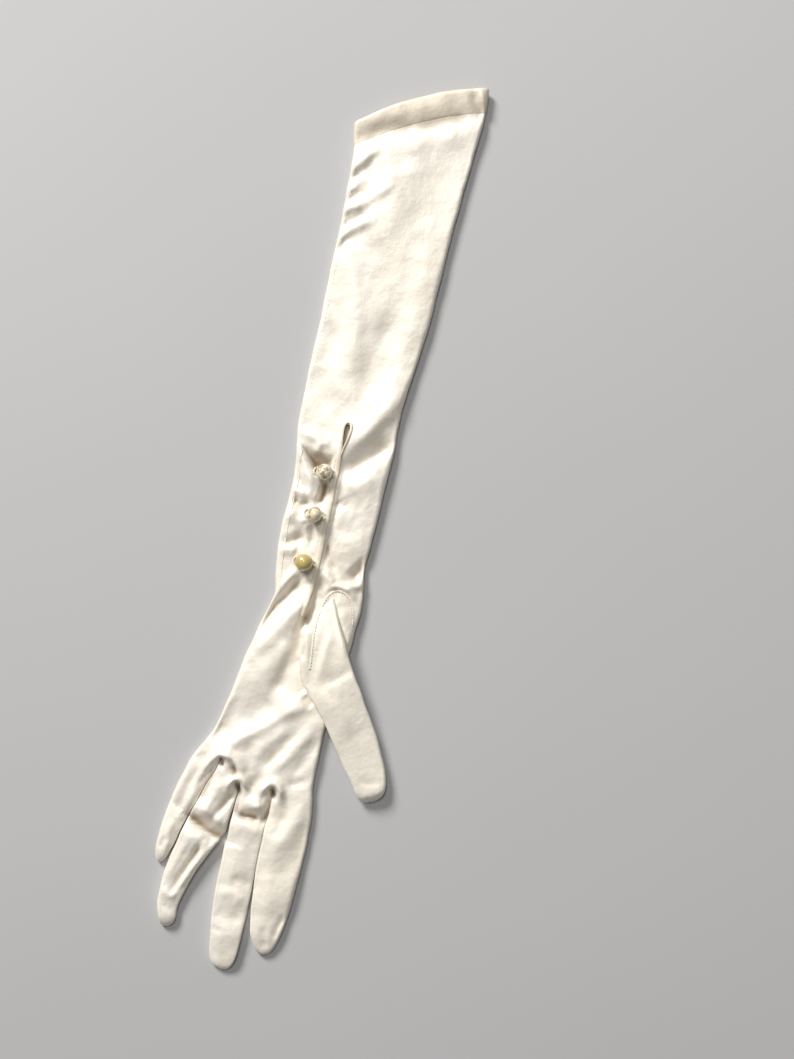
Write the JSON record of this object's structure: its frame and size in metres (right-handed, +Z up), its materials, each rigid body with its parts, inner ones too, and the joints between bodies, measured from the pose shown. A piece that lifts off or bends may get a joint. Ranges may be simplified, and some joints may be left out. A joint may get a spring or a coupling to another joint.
{
  "type": "long satin glove",
  "caption": "Long ivory satin dress glove for the left hand, empty and lying palm up, with a thumb folded over the palm and a pearl-buttoned wrist slit.",
  "frame": {"origin": "centre of the bounding box, on the surface that the glove lies on", "axes": "+Y along the sleeve from the fingertips to the cuff, +Z up through the palm side, +X towards the thumb"},
  "size_m": [0.1326, 0.577, 0.0209],
  "materials": {
    "satin": "ivory satin weave with a soft gloss, a little yellowed",
    "satin_edge": "the same satin turned in and bound, a little darker",
    "pearl": "imitation pearl coat, glossy and yellowed with age",
    "thread": "twisted sewing thread"
  },
  "bodies": {
    "root": {"satin_shell": "satin", "thumb": "satin", "fourchette_little_ring": "satin", "fourchette_ring_middle": "satin", "fourchette_middle_index": "satin", "cuff_hem": "satin_edge", "slit_binding": "satin_edge", "pearl_button_1": "pearl", "pearl_button_2": "pearl", "pearl_button_3": "pearl", "button_loop_1": "thread", "button_loop_2": "thread", "button_loop_3": "thread"}
  },
  "joints": []
}
